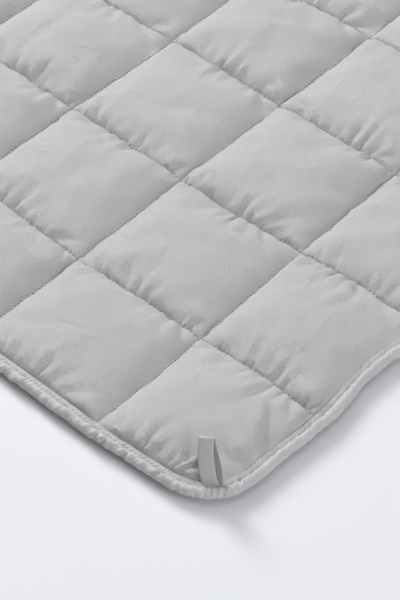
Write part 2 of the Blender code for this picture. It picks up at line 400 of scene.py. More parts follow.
pockets[..., 2] = fill_out(pockets[..., 2])
for cloth in pockets:
    cloth[..., 2] += darts(cloth[..., 0] / PITCH, cloth[..., 1] / PITCH)
print("on average the cloth lies", (1000 * pockets[..., 2].mean(axis=(1, 2))).round(1), "mm up")

# %% [markdown]
# ## The filled body
#
# Every pocket of the blanket takes one of the samples, turned over one way, the other, both or
# neither, so the same creases never sit side by side. All of the points go into one big table, in
# which neighbouring pockets share their seam. The underside is coarser: it lies flat on the surface,
# and rises only into its seams. Last, a Decimate modifier takes points out where the cloth is smooth
# and leaves them where it is creased.

# %% Lay the pockets out over the pattern
def seam_at(number, half, count):
    """Where the pattern's seam of this number runs. The outer two are the inner edge of the flange."""
    inside = np.clip(number, 0, count) * PITCH - half
    return np.clip(inside, FLANGE_START - half, half - FLANGE_START)


SIDE_LINES = (0.2, 0.5)
FAR_LINES = [GRID - line for line in reversed(SIDE_LINES)]
LINES = np.array([0, *SIDE_LINES, *range(1, GRID), *FAR_LINES, GRID])
STEPS = len(LINES) - 1
WALL_RISE, WALL_REACH, WALL_FADE, CROSSING_REACH = 0.0029, 0.0010, 0.020, 0.0050
SWELL, SWELL_LIMITS, SWELL_FADE, SWELL_FAR = 0.30, (-0.35, 0.6), 0.007, 0.2


def at_lines(values):
    """The sample's values at the pocket's grid lines, which stand closer together beside a seam."""
    low = np.minimum(LINES.astype(int), GRID - 1)
    share = LINES - low
    values = values[low] * (1 - share)[:, None] + values[low + 1] * share[:, None]
    return values[:, low] * (1 - share) + values[:, low + 1] * share


def wall(to_seam, reach):
    """The steep first millimetres beside a seam: one minus e to the minus distance over reach."""
    return 1 - np.exp(-np.clip(to_seam, 0, None) / reach)


def walls(u, v, swell):
    """How far up the walls a place in a pocket is. Only the seams that run along the blanket gather
    the cloth, so only they have one. It swells and sinks along the seam, and dies away into the
    pocket and towards the crossing seams."""
    beside_u, beside_v = PITCH * (0.5 - abs(u - 0.5)), PITCH * (0.5 - abs(v - 0.5))
    up = bell(beside_u, WALL_FADE) + bell(beside_u, SWELL_FADE) * swell
    return wall(beside_u, WALL_REACH) * wall(beside_v, CROSSING_REACH) * up


print("each pocket has", STEPS, "steps each way, the first of them", SIDE_LINES[0], "of the others")

# %% The larger creases
UNDULATION, BROAD = 0.0007, waves(40, 0.016, 0.06)
SWELLS = waves(40, 0.0065, 0.014)
CREASED_FROM, EDGE_RISE, CREASE_STRENGTH = 0.007, 0.03, 1.6
CREASES = table(
    # the larger creases: where their middle is, in pockets from the near left corner, which way they
    # run in degrees, and half their length, half their width and their height in millimetres
    "column row turn long wide high",
    (0.81, 0.50, 170, 15, 3.0, 0.9), (0.80, 0.43, 170, 11, 3.0, -0.9),
    (0.83, 0.63, 160, 11, 3.0, -0.7), (0.80, 0.80, -40, 16, 6.0, -0.8),
    (0.70, 0.20, 40, 22, 3.0, -1.9), (0.68, 0.24, 40, 20, 3.5, 1.2),
    (0.87, 0.18, 40, 10, 3.0, -0.9), (0.45, 0.22, -65, 11, 6.0, 1.5),
    (0.40, 0.17, -35, 8, 4.0, -1.0), (0.19, 0.42, 40, 12, 3.0, 0.7),
    (0.21, 0.38, 40, 12, 2.8, -0.5), (0.16, 0.46, 45, 8, 2.6, -0.6),
    (0.17, 0.70, 45, 8, 2.6, -0.9), (0.18, 0.66, 50, 10, 2.6, 0.8),
    (1.71, 0.49, 165, 26, 3.5, -0.9), (1.74, 0.54, 165, 18, 4.0, 0.6),
    (1.87, 0.32, 155, 13, 3.5, -0.8), (2.59, 3.63, -5, 20, 3.0, -0.9),
    (2.22, 3.65, 0, 20, 3.0, -1.1), (1.79, 1.43, -65, 12, 5.0, -0.8),
    (1.80, 1.31, -35, 14, 4.0, 0.8), (2.03, 2.03, -25, 12, 3.5, 1.0),
    (2.09, 2.04, -20, 11, 4.0, -0.8), (3.10, 1.36, 0, 14, 2.8, 1.1),
    (3.09, 1.40, 0, 13, 2.6, -1.1), (3.10, 1.28, 0, 19, 2.8, 0.9),
    (3.06, 1.13, -20, 12, 7.0, 1.2), (0.84, 2.24, -75, 16, 6.0, -0.7),
    (0.74, 1.80, -50, 16, 6.0, -0.8), (3.02, 2.39, 15, 9, 2.6, 1.1),
    (3.04, 2.35, 20, 11, 2.6, -1.1),
)


def creases(x, y):
    """The sum of the table's creases: each is a bell along its line times a bell across it."""
    total = np.zeros_like(x)
    for row in CREASES:
        from_x, from_y = x + HALF_WIDTH - row["column"] * PITCH, y + HALF_LENGTH - row["row"] * PITCH
        turn = math.radians(row["turn"])
        along = (from_x * math.cos(turn) + from_y * math.sin(turn)) / row["long"]
        across = (from_y * math.cos(turn) - from_x * math.sin(turn)) / row["wide"]
        total += row["high"] / 1000 * np.exp(-1e6 * (along**2 + across**2))
    return CREASE_STRENGTH * total


print(len(CREASES), "larger creases, the highest", max(abs(row["high"]) for row in CREASES), "mm")

# %% Both layers
COARSE, SEAM_WIDTH, EDGE_WIDTH = 13, 0.009, 0.010


def from_flange(x, y):
    """How far inside the flange places are."""
    return np.minimum(HALF_WIDTH - abs(x), HALF_LENGTH - abs(y)) - FLANGE_START


def seam_height(x, y, height, edge_height):
    """The height of a seam, which rises to the flange's as the square of how near the flange is."""
    return height + (edge_height - height) * np.clip(1 - from_flange(x, y) / EDGE_RISE, 0, 1) ** 2


def to_line(run, half):
    """How far places on this axis are from the nearest line between two pockets."""
    return abs((run + half) / PITCH - np.round((run + half) / PITCH)) * PITCH


def body_top():
    """Pattern coordinates and heights of the whole upper layer, pocket by pocket, in one table."""
    shape = (COLUMNS * STEPS + 1, ROWS * STEPS + 1)
    x, y, z = np.zeros(shape), np.zeros(shape), np.zeros(shape)
    samples = [[at_lines(cloth[..., axis]) for axis in range(3)] for cloth in pockets]
    for column in range(COLUMNS):
        for row in range(ROWS):
            # a fixed rule for which sample comes where, and how it is turned over
            cloth_x, cloth_y, rise = samples[(3 * column + 7 * row + column * row) % SAMPLES]
            over_x, over_y = (column + 2 * row) % 4 < 2, (2 * column + row) % 4 < 2
            u, v = cloth_x / PITCH + 0.5, cloth_y / PITCH + 0.5
            if over_x:
                u, v, rise = 1 - u[::-1], v[::-1], rise[::-1]
            if over_y:
                u, v, rise = u[:, ::-1], 1 - v[:, ::-1], rise[:, ::-1]
            left, right = (seam_at(column + side, HALF_WIDTH, COLUMNS) for side in (0, 1))
            near, far = (seam_at(row + side, HALF_LENGTH, ROWS) for side in (0, 1))
            # the same small differences between the crowns as in the fixed model
            crown = CROWN_TOP + CROWN_SPREAD * math.sin(2.1 * column + 3.7 * row)
            area = np.s_[column * STEPS : (column + 1) * STEPS + 1, row * STEPS : (row + 1) * STEPS + 1]
            x[area] = left + (right - left) * u
            y[area] = near + (far - near) * v
            swell = np.clip(SWELL * ripple(x[area], y[area], SWELLS), *SWELL_LIMITS)
            swell = np.where(u < 0.5, 1, SWELL_FAR) * swell
            z[area] = WALL_RISE * walls(u, v, swell) + rise * (crown - SEAM_TOP) / rise.max()
    z += np.clip(z / CREASED_FROM, 0, 1) * (UNDULATION * ripple(x, y, BROAD) + creases(x, y))
    z += seam_height(x, y, SEAM_TOP, FLANGE_TOP)
    return x, y, z


def with_flange(x, y, z, height):
    """The table with one more row on each side: the flange, which the binding covers."""
    x, y, z = (np.pad(values, 1, mode="edge") for values in (x, y, z))
    z[0], z[-1], z[:, 0], z[:, -1] = height, height, height, height
    x[0], x[-1] = FLANGE_EDGE - HALF_WIDTH, HALF_WIDTH - FLANGE_EDGE
    y[:, 0], y[:, -1] = FLANGE_EDGE - HALF_LENGTH, HALF_LENGTH - FLANGE_EDGE
    return x, y, z


def body_underside():
    """The lower layer: flat where it rests, rising to the seams over the last few millimetres."""
    lines = []
    for half, count in ((HALF_WIDTH, COLUMNS), (HALF_LENGTH, ROWS)):
        steps = np.arange(count * COARSE + 1) / COARSE
        whole = np.minimum(steps.astype(int), count - 1)
        low, high = seam_at(whole, half, count), seam_at(whole + 1, half, count)
        lines.append(low + (high - low) * (steps - whole))
    x, y = np.meshgrid(*lines, indexing="ij")
    seam = bell(np.minimum(to_line(x, HALF_WIDTH), to_line(y, HALF_LENGTH)), SEAM_WIDTH)
    edge = bell(from_flange(x, y), EDGE_WIDTH)
    return x, y, np.maximum(SEAM_BOTTOM * seam, FLANGE_BOTTOM * edge)


def rim(numbers):
    """The outer ring of a table of point numbers, once round."""
    return np.concatenate([numbers[:-1, 0], numbers[-1, :-1], numbers[:0:-1, -1], numbers[0, :0:-1]])


def rim_faces(above, below):
    """The narrow wall that closes the flange: one face for each lower edge. On most of them it has
    several upper points, because the upper layer has as many more."""
    sets = []
    starts_above, starts_below = 0, 0
    upper, lower = rim(above), rim(below)
    for side in range(4):
        count = (COLUMNS, ROWS)[side % 2] * COARSE
        ends = [(1, 1)] + [(STEPS // COARSE, 1)] * count + [(1, 1)]
        for step_above, step_below in ends:
            top = upper[(starts_above + np.arange(step_above + 1)) % len(upper)]
            bottom = lower[(starts_below + np.arange(step_below + 1)) % len(lower)]
            sets.append(np.concatenate([top, bottom[::-1]])[None])
            starts_above += step_above
            starts_below += step_below
    sizes = (4, STEPS // COARSE + 3)
    return [np.concatenate([face for face in sets if face.shape[1] == size]) for size in sizes]


top_x, top_y, top_z = with_flange(*body_top(), FLANGE_TOP)
low_x, low_y, low_z = with_flange(*body_underside(), FLANGE_BOTTOM)
print("upper layer", top_x.shape, "points, underside", low_x.shape, "points")

# %% Make the body as one closed mesh
BODY_TRIANGLES, SEAM_ANGLE = 190_000, math.radians(48)


def make_body():
    """Upper layer, underside and the wall between them, thinned out where the cloth is smooth."""
    above = np.arange(top_x.size).reshape(top_x.shape)
    below = top_x.size + np.arange(low_x.size).reshape(low_x.shape)
    layers = ((top_x, top_y, top_z), (low_x, low_y, low_z))
    points = np.concatenate([place(x, y, z).reshape(-1, 3) for x, y, z in layers])
    flat_map = np.concatenate([np.stack([x, y], axis=-1).reshape(-1, 2) for x, y, z in layers])
    rim_walls = [faces[:, ::-1] for faces in rim_faces(above, below)]
    face_sets = [grid_faces(above), grid_faces(below)[:, ::-1], *rim_walls]
    body = make_piece("quilted_cover", points, face_sets, flat_map)
    thin = body.modifiers.new("thin out", "DECIMATE")
    thin.ratio = BODY_TRIANGLES / triangles(body)
    fine = body.data
    thinned = body.evaluated_get(bpy.context.evaluated_depsgraph_get())
    body.data = bpy.data.meshes.new_from_object(thinned)
    body.data.name = "quilted_cover"
    body.modifiers.clear()
    bpy.data.meshes.remove(fine)
    body.data.set_sharp_from_angle(angle=SEAM_ANGLE)
    return body


body = make_body()
print("the body has", triangles(body), "triangles")

# %% [markdown]
# ## The stitches
#
# A seam shows as a row of short straight stitches lying in a groove. There are nearly nine thousand on
# each face, so each is a tiny closed rod of three rings with four points, or three underneath, and all
# of a face's stitches are one mesh. A stitch is thickest in the middle and dips into the cloth at its
# ends. Beside each stitch the cloth puffs up a little, which gives the seams their rough outline. Such
# a puff is only eight triangles, and all those of one direction are one mesh too.

# %% Rows of stitches
STITCH_PITCH, STITCH_LENGTH, THREAD = 0.0037, 0.0030, 0.00028
RING_SHARES = np.array([-0.5, 0.0, 0.5])
RING_SIZES = np.array([0.55, 1.0, 0.55])
RING_LIFTS = np.array([-0.00012, 0.00012, -0.00012])
OVER_SEAM, OVER_EDGE, UNDER_CLOTH = 0.0003, 0.0002, 0.0002
SEAM_RUNS = {
    # half the seams' length, half the blanket's other size, and one more than there are seams
    "crosswise": (HALF_WIDTH, HALF_LENGTH, ROWS),
    "lengthwise": (HALF_LENGTH, HALF_WIDTH, COLUMNS),
}


def make_stitches(name, rings, side=1, round_about=4):
    """Stitches as one mesh. rings holds each stitch's three ring middles, as [stitch, 3, 3] points,
    side is 1 above and -1 below, and round_about is the number of points in a ring. A ring is its
    middle plus the thread's size times cosine and sine of the angle."""
    heading = rings[:, 2] - rings[:, 0]
    heading /= np.linalg.norm(heading, axis=-1, keepdims=True)
    across = np.cross(heading, [0, 0, 1])
    angles = 2 * np.pi / round_about * np.arange(round_about)
    turned = np.cos(angles)[:, None] * across[:, None] + np.sin(angles)[:, None] * np.array([0, 0, 1])
    middles = rings + side * RING_LIFTS[:, None] * np.array([0, 0, 1])
    points = middles[:, :, None] + THREAD * RING_SIZES[:, None, None] * turned[:, None]
    numbers = np.arange(points[..., 0].size).reshape(points.shape[:3])
    wrapped = np.concatenate([numbers, numbers[..., :1]], axis=2)
    ahead, behind = wrapped[:, 1:], wrapped[:, :-1]
    corners = (behind[..., :-1], behind[..., 1:], ahead[..., 1:], ahead[..., :-1])
    round_faces = np.stack(corners, axis=-1)
    caps = np.concatenate([numbers[:, 0, ::-1], numbers[:, -1]])
    return make_piece(name, points, [round_faces.reshape(-1, 4), caps])


def seam_rings(height, edge_height):
    """Ring middles of the stitches along every seam, at this height, rising to the flange's."""
    sets = []
    for way, (half, other, lines) in SEAM_RUNS.items():
        reach = half - FLANGE_START - STITCH_PITCH
        middles = np.arange(-reach, reach, STITCH_PITCH)
        run = middles[:, None] + STITCH_LENGTH * RING_SHARES
        for line in range(1, lines):
            where = np.full_like(run, line * PITCH - other)
            sets.append((run, where) if way == "crosswise" else (where, run))
    x, y = (np.concatenate(values) for values in zip(*sets))
    return place(x, y, seam_height(x, y, height, edge_height))


upper_rings = seam_rings(SEAM_TOP + OVER_SEAM, FLANGE_TOP + OVER_EDGE)
under_rings = seam_rings(SEAM_BOTTOM - UNDER_CLOTH, FLANGE_BOTTOM - UNDER_CLOTH)
seam_stitches = make_stitches("seam_stitches", upper_rings)
under_stitches = make_stitches("seam_stitches_under", under_rings, side=-1, round_about=3)
print("stitches:", triangles(seam_stitches), "and", triangles(under_stitches), "triangles")

# %% Puffs beside the stitches
PUFF_SIZE, PUFF_TALLNESS, PUFF_HALF_LENGTH = 0.0026, 0.8, 0.6
PUFFS_STOP, PUFFS_SKIP, PUFF_SHIFT = 0.006, 0.0025, 0.0002


def make_puffs(name, ends, width, height):
    """Small puffs of cloth as one mesh. A puff is pinched to a point at each of its two ends, and has
    four points round its middle, half a width to either side and half a height up and down."""
    heading = ends[:, 1] - ends[:, 0]
    heading /= np.linalg.norm(heading, axis=-1, keepdims=True)
    across, up = np.cross(heading, [0, 0, 1]), np.array([0, 0, 1.0])
    steps = [across * width[:, None] / 2, up * height[:, None] / 2]
    middle = ends.mean(axis=1)
    ring = [middle + steps[0], middle + steps[1], middle - steps[0], middle - steps[1]]
    points = np.stack([ends[:, 0], ends[:, 1], *ring], axis=1)
    numbers = np.arange(points[..., 0].size).reshape(points.shape[:2])
    faces = [
        numbers[:, [end, 2 + (corner + 1 - end) % 4, 2 + (corner + end) % 4]]
        for end in (0, 1) for corner in range(4)
    ]
    return make_piece(name, points, [np.concatenate(faces)], points[..., :2])


def seam_puffs(way, aside, lift):
    """Puffs beside the seams that run one way, one to a stitch: this far to the side, and above the
    seam by this lift times the wall's formula, so that they sink where another seam crosses."""
    half, other, lines = SEAM_RUNS[way]
    reach = half - FLANGE_START - PUFFS_STOP
    middles = np.arange(-reach, reach, STITCH_PITCH)
    middles = middles[to_line(middles, half) > PUFFS_SKIP]
    grid = np.meshgrid(middles, np.arange(1, lines), indexing="ij")
    middle, line = (values.reshape(-1) for values in grid)
    bigness = RANDOM.uniform(0.6, 1.3, len(middle))
    run = middle[:, None] + STITCH_PITCH * np.array([-PUFF_HALF_LENGTH, PUFF_HALF_LENGTH])
    shifts = RANDOM.uniform(-PUFF_SHIFT, PUFF_SHIFT, len(middle))
    where = (line * PITCH - other - aside + shifts)[:, None] + 0 * run
    x, y = (run, where) if way == "crosswise" else (where, run)
    z = seam_height(x, y, SEAM_TOP, FLANGE_TOP) + lift * wall(to_line(run, half), CROSSING_REACH)
    width = PUFF_SIZE * bigness
    return make_puffs("seam_puffs_" + way, place(x, y, z), width, PUFF_TALLNESS * PUFF_SIZE * bigness)


puffs = [
    seam_puffs("lengthwise", aside=0.0007, lift=0.0022),
    seam_puffs("crosswise", aside=0.0006, lift=0.0008),
]
print("puffs beside the seams:", [triangles(piece) for piece in puffs], "triangles")

# %% [markdown]
# ## The binding
#
# A tape is folded lengthwise over the raw edge and sewn through near its inner edge. Its section is a
# C: a thin lip, a groove where the stitches pull it down, and a full round roll over the edge. The
# section is a short table. Carried round the blanket it would look like plastic pipe, so two things
# are added: the tape crinkles slantwise between the stitches, less so round the corners, and the edge
# wavers in and out.

# %% The binding's section and its route round the edge
TAPE_SECTION = table(
    # inset and height in millimetres, and how much the point takes of the small crinkles between the
    # stitches, of the longer puckers, of the waver in and out, and of the shifts of the inner edge
    "inset height crinkle pucker waver inner",
    (10.70, 9.90, 0.0, 0.0, 0.0, 1.0),
    (10.80, 10.35, 0.0, 0.1, 0.0, 1.0),
    (10.45, 10.70, 0.1, 0.2, 0.0, 1.0),
    (9.85, 10.20, 0.0, 0.1, 0.1, 1.0),
    (9.20, 10.28, 0.1, 0.3, 0.1, 0.8),
    (8.10, 10.25, 0.3, 0.3, 0.2, 0.5),
    (7.20, 10.00, 0.5, 0.2, 0.2, 0.3),
    (6.30, 10.70, 0.7, 0.6, 0.3, 0.1),
    (5.30, 11.45, 0.9, 0.9, 0.5, 0.0),
    (4.00, 11.80, 0.8, 1.0, 0.7, 0.0),
    (2.70, 11.35, 0.9, 1.0, 0.9, 0.0),
    (1.60, 10.45, 0.9, 1.0, 1.0, 0.0),
    (0.75, 9.35, 0.8, 0.9, 1.0, 0.0),
    (0.30, 8.05, 0.7, 0.8, 1.0, 0.0),
    (0.20, 6.70, 0.4, 0.7, 1.0, 0.0),
    (0.55, 5.70, 0.0, 0.6, 1.0, 0.0),
    (1.50, 5.00, 0.0, 0.6, 0.9, 0.0),
    (3.20, 4.70, 0.0, 0.6, 0.7, 0.0),
    (5.40, 4.75, 0.0, 0.5, 0.4, 0.0),
    (7.10, 5.45, 0.0, 0.1, 0.2, 0.3),
    (8.60, 5.15, 0.0, 0.2, 0.1, 0.6),
    (10.60, 5.30, 0.0, 0.0, 0.0, 1.0),
    (10.75, 6.00, 0.0, 0.0, 0.0, 1.0),
    (2.00, 6.30, 0.0, 0.0, 0.8, 0.0),
    (1.60, 8.00, 0.0, 0.0, 0.9, 0.0),
    (2.00, 9.65, 0.0, 0.0, 0.8, 0.0),
)
FINE_ROWS, GROOVE_ROW = 15, 6
GROOVE = np.array([[row["inset"], row["height"]] for row in TAPE_SECTION[: GROOVE_ROW + 1]]) / 1000
GROOVE_AT = float(np.linalg.norm(np.diff(GROOVE, axis=0), axis=1).sum())
CORNER_RUNS = np.array([0, WIDTH, WIDTH + LENGTH, 2 * WIDTH + LENGTH])
ONCE_ROUND = 2 * (WIDTH + LENGTH)


def edge_stations(per_stitch):
    """Stations once round the blanket, this many to a stitch: the side each is on, and how far
    along it, from its middle."""
    sides, alongs = [], []
    for side, half in enumerate((HALF_WIDTH, HALF_LENGTH, HALF_WIDTH, HALF_LENGTH)):
        count = per_stitch * round(2 * half / STITCH_PITCH)
        along = np.linspace(-half, half, count + 1)[:-1]
        sides.append(np.full(len(along), side))
        alongs.append(along)
    return np.concatenate(sides), np.concatenate(alongs)


def edge_place(side, along, inset, height):
    """Points this far in from the edge. Round a corner the step shrinks with the inset, as
    arcs about one centre do."""
    side, along, inset, height = np.broadcast_arrays(side, along, inset, height)
    half = np.where(side % 2 == 0, HALF_WIDTH, HALF_LENGTH)
    other = np.where(side % 2 == 0, HALF_LENGTH, HALF_WIDTH)
    start = half - CORNER_RADIUS
    past = abs(along) - start
    along = np.where(past > 0, np.sign(along) * (start + past * (1 - inset / CORNER_RADIUS)), along)
    x = np.choose(side, (along, other - inset, -along, inset - other))
    y = np.choose(side, (inset - other, along, other - inset, -along))
    return place(x, y, height)


print("the tape's groove is", round(1000 * GROOVE_AT, 1), "mm from its inner edge, along the tape")

# %% The tape's unevenness
PER_STITCH, SLANT = 3, 0.80
CRINKLE, CRINKLE_RANGE, CRINKLE_MIDDLE, PUCKER = 0.00082, (0.35, 1.6), 0.6, 0.00050
PATCH_MEAN, PATCH_SWING, PATCH_LIMITS = 0.95, 0.22, (0.6, 1.4)
LAP_AT, LAP_MIDDLE, LAP_STEP, LAP_SLANT, LAP_FADE = -0.425, 0.004, 0.0006, 0.3, 0.02
TAIL_HALF, TAIL_SHIFT, TAIL_FADE, TAIL_BUMP = 0.0125, 0.001, 0.002, 0.0005
TAIL_FROM, TAIL_TO = 0.0005, 0.009  # how far round the section a loop's tail reaches
CALM_REACH, CORNER_CALM, TAIL_CALM = 0.05, 0.6, 0.9
WAVER = np.array([0.0006, 0.0005, 0.0006, 0.0003])  # one for each side
WAVER_START, WAVER_FADE = 0.03, 0.06
PINCH, PINCH_AT, PINCH_WIDTH = 0.0012, 0.010, 0.006
BULGE, BULGE_AT, BULGE_WIDTH = 0.0004, 0.030, 0.014
SLANTED = waves(18, 0.0045, 0.011)
PATCHES, SWINGS = waves(5, 0.06, 0.2), waves(6, 0.032, 0.12)
CORNER_CREASES = table(
    # folds across the binding beside a corner's middle: where, how deep and how wide, in millimetres
    "at depth width",
    (9.5, 1.10, 1.7), (14.0, 0.60, 1.5), (-17.5, 0.55, 1.5),
    (31.0, 0.35, 2.0), (-36.0, 0.30, 2.2),
)


def crinkles(index, around, groove):
    """The tape is pulled down at each stitch and puffs up between two, by an uneven amount. The
    pattern slants, so a point reads it from a station further on, the further it is from the groove."""
    strength = RANDOM.uniform(*CRINKLE_RANGE, len(index) // PER_STITCH)
    position = index[:, None] / PER_STITCH + SLANT * (around - groove) / STITCH_PITCH
    each = strength[np.floor(position).astype(int) % len(strength)]
    return each * abs(np.sin(np.pi * position)) - CRINKLE_MIDDLE


def from_corner(run):
    """How far each place lies past the nearest corner, once round, and that corner's number."""
    away = (run[..., None] - CORNER_RUNS + ONCE_ROUND / 2) % ONCE_ROUND - ONCE_ROUND / 2
    nearest = abs(away).argmin(axis=-1)
    return np.take_along_axis(away, nearest[..., None], axis=-1)[..., 0], nearest


def folds(past, corner):
    """Troughs across the tape: for each row of the table its depth times a bell of its width. Other
    corners than the first take the table the other way round, or weaker."""
    flip, weaker = np.array([1, -1, 1, -1])[corner], np.array([1.0, 0.7, 0.8, 0.6])[corner]
    return sum(
        row["depth"] / 1000 * weaker * bell(flip * past * 1000 - row["at"], row["width"])
        for row in CORNER_CREASES
    )


print(len(edge_stations(PER_STITCH)[0]), "stations once round the blanket")

# %% How far the tape is pushed and shifted
def tape_push(sides, alongs, run, around, crinkle, pucker):
    """How far each point is pushed outwards. It is the sum of the crinkles, which are calmer round a
    corner and over a loop's tail, the puckers, a step where the tape's ends overlap, and the loops'
    tails, less the folds."""
    past, corner = from_corner(run)
    tails = np.clip((TAIL_HALF - abs(past + TAIL_SHIFT)) / TAIL_FADE, 0, 1)
    calm = np.clip(1 - abs(past) / CALM_REACH, 0, 1)
    uneven = np.clip(PATCH_MEAN + PATCH_SWING * ripple(run, 0 * run, PATCHES), *PATCH_LIMITS)
    push = CRINKLE * uneven * crinkles(np.arange(len(sides)), around, around[GROOVE_ROW]) * crinkle
    push = push * (1 - TAIL_CALM * tails) * (1 - CORNER_CALM * calm)
    # the puckers' waves are read on a sheared map, so they too lie slantwise
    slanted = ripple(run + 0.5 * around, 0.35 * around + 0 * run, SLANTED)
    push += PUCKER * uneven * slanted * pucker
    from_lap = np.where(sides == 0, alongs - LAP_AT, -1)[:, None] - LAP_SLANT * (around - LAP_MIDDLE)
    push += LAP_STEP * (pucker > 0) * (from_lap > 0) * np.exp(-np.maximum(from_lap, 0) / LAP_FADE)
    push += TAIL_BUMP * tails * (around > TAIL_FROM) * (around < TAIL_TO)
    # a fold is less deep where the tape is held down, and only the part that shows has folds
    push -= folds(past, corner) * (0.3 + 0.7 * pucker) * (crinkle > 0)
    return push


def tape_shifts(sides, run):
    """How far a station is shifted in by the waver, which fades out towards a corner, and how far its
    inner edge is drawn out: by a pinch just past a corner's middle, less a bulge on both sides."""
    past = from_corner(run)[0]
    away = abs(past)
    corner_fade = np.clip((away - WAVER_START) / WAVER_FADE, 0, 1)
    swing = WAVER[sides][:, None] * corner_fade * ripple(run, 0 * run, SWINGS)
    bulge = BULGE * bell(away - BULGE_AT, BULGE_WIDTH)
    return swing, PINCH * bell(past - PINCH_AT, PINCH_WIDTH) - bulge


print("the tape crinkles by up to", round(1000 * CRINKLE * CRINKLE_RANGE[1], 2), "mm")

# %% Carry the section round
def join_tape(points, run, around):
    """The binding from its table of points. The part that shows keeps every station, and the hidden
    rest one to a stitch, so the faces where the two meet have more points on the one side."""
    fine = points[:, :FINE_ROWS]
    coarse = points[::PER_STITCH, FINE_ROWS:]
    upper = np.arange(fine[..., 0].size).reshape(fine.shape[:2])
    lower = upper.size + np.arange(coarse[..., 0].size).reshape(coarse.shape[:2])
    stitch = PER_STITCH * np.arange(len(lower))
    ahead_low = np.roll(lower, -1, axis=0)
    last = [upper[(stitch + more) % len(upper), -1] for more in range(PER_STITCH + 1)]
    first = [upper[(stitch + more) % len(upper), 0] for more in range(PER_STITCH, -1, -1)]
    joins = [
        np.stack([*last, ahead_low[:, 0], lower[:, 0]], axis=1),
        np.stack([lower[:, -1], ahead_low[:, -1], *first], axis=1),
    ]
    flat_map = np.stack(np.broadcast_arrays(run, around), axis=-1)
    flat_map = np.concatenate([
        flat_map[:, :FINE_ROWS].reshape(-1, 2), flat_map[::PER_STITCH, FINE_ROWS:].reshape(-1, 2)
    ])
    points = np.concatenate([fine.reshape(-1, 3), coarse.reshape(-1, 3)])
    faces = [grid_faces(upper, True), grid_faces(lower, True), *joins]
    return make_piece("binding_tape", points, faces, flat_map, ONCE_ROUND)


def make_binding():
    """The section at every station, each point pushed along its own outward direction. That direction
    is square to the line between the points before and after it."""
    sides, alongs = edge_stations(PER_STITCH)
    inset, height, crinkle, pucker, waver, inner = (
        np.array([row[column] for row in TAPE_SECTION]) for column in TAPE_SECTION[0]
    )
    inset, height = inset / 1000, height / 1000
    ahead, behind = np.roll(inset, -1) - np.roll(inset, 1), np.roll(height, -1) - np.roll(height, 1)
    size = np.hypot(ahead, behind)
    out_inset, out_height = behind / size, -ahead / size
    around = np.concatenate([[0], np.cumsum(np.hypot(np.diff(inset), np.diff(height)))])
    half = np.where(sides % 2 == 0, HALF_WIDTH, HALF_LENGTH)
    run = (CORNER_RUNS[sides] + alongs + half)[:, None]
    push = tape_push(sides, alongs, run, around, crinkle, pucker)
    swing, pinch = tape_shifts(sides, run)
    points = edge_place(
        sides[:, None], alongs[:, None],
        inset + push * out_inset + swing * waver - pinch * inner, height + push * out_height,
    )
    return join_tape(points, run, around)


binding = make_binding()
print("the binding has", triangles(binding), "triangles")

# %% Stitches along the binding's groove
UPPER_GROOVE, UNDER_GROOVE = (0.0072, 0.0104), (0.0071, 0.00515)  # inset and height


def groove_rings(inset, height):
    """Ring middles of the stitches that hold the binding, once round."""
    sides, alongs = edge_stations(1)
    run = alongs[:, None] + STITCH_PITCH / 2 + STITCH_LENGTH * RING_SHARES
    half = np.where(sides % 2 == 0, HALF_WIDTH, HALF_LENGTH)[:, None]
    run = np.clip(run, -half, half)
    return edge_place(sides[:, None], run, inset, height)


binding_stitches = make_stitches("binding_stitches", groove_rings(*UPPER_GROOVE))
binding_stitches_under = make_stitches(
    "binding_stitches_under", groove_rings(*UNDER_GROOVE), side=-1, round_about=3
)
print("binding stitches:", triangles(binding_stitches) + triangles(binding_stitches_under), "triangles")

# %% [markdown]
# ## The corner loops
#
# A loop is a short length of flat tape folded in two, with both ends caught under the binding. The
# front leg stands straight and the back leg bows away from it, so there is room for a tie between
# them. Its middle line comes from a small table like the fixed model's, smoothed, and the tape's
# thickness and rounded edges are worked out round that line.

# %% A loop's sizes and its middle line
LOOP_WIDTH, LOOP_TAPE = 0.0117, 0.0010
LOOP_LEAN = math.radians(60)
LOOP_FOOT_INSET, LOOP_FOOT_HEIGHT = 0.0118, 0.0113
LOOP_LEGS = table(
    # millimetres: the way up the loop, how far each leg's middle stands off the loop's axis, and how
    # far each leg has slipped sideways
    "along front back front_slip back_slip",
    (-2.6, 0.45, 0.60, 0.6, -1.8),
    (-1.0, 0.50, 0.65, 1.0, -1.7),
    (0.0, 0.60, 0.80, 1.2, -1.6),
    (5.0, 1.30, 1.80, 2.8, -1.2),
    (12.8, 2.10, 3.60, 4.4, 0.4),
    (22.2, 1.90, 3.70, 5.7, 2.9),
    (30.5, 1.10, 2.00, 5.9, 4.9),
    (33.1, 0.75, 1.15, 5.8, 5.5),
)
LOOP_FOLD = (33.6, 0.2, 5.7)
LOOP_FOLD_AT = 0.0385
LOOP_STATIONS, LOOP_POINTS = 90, 13
LOOP_CURL, LOOP_WAIST, WAIST_REACH = 0.00025, 0.10, 20
LOOPS = {
    # the corner's sides, the loop's turn about the upright in degrees, and how much of the table's
    # slip it takes
    "loop_near_left": {"x": -1, "y": -1, "turn": -7.5, "slip": 1.0},
    "loop_near_right": {"x": 1, "y": -1, "turn": 5.0, "slip": -0.6},
    "loop_far_left": {"x": -1, "y": 1, "turn": 3.0, "slip": 0.4},
    "loop_far_right": {"x": 1, "y": 1, "turn": -4.0, "slip": -0.9},
}


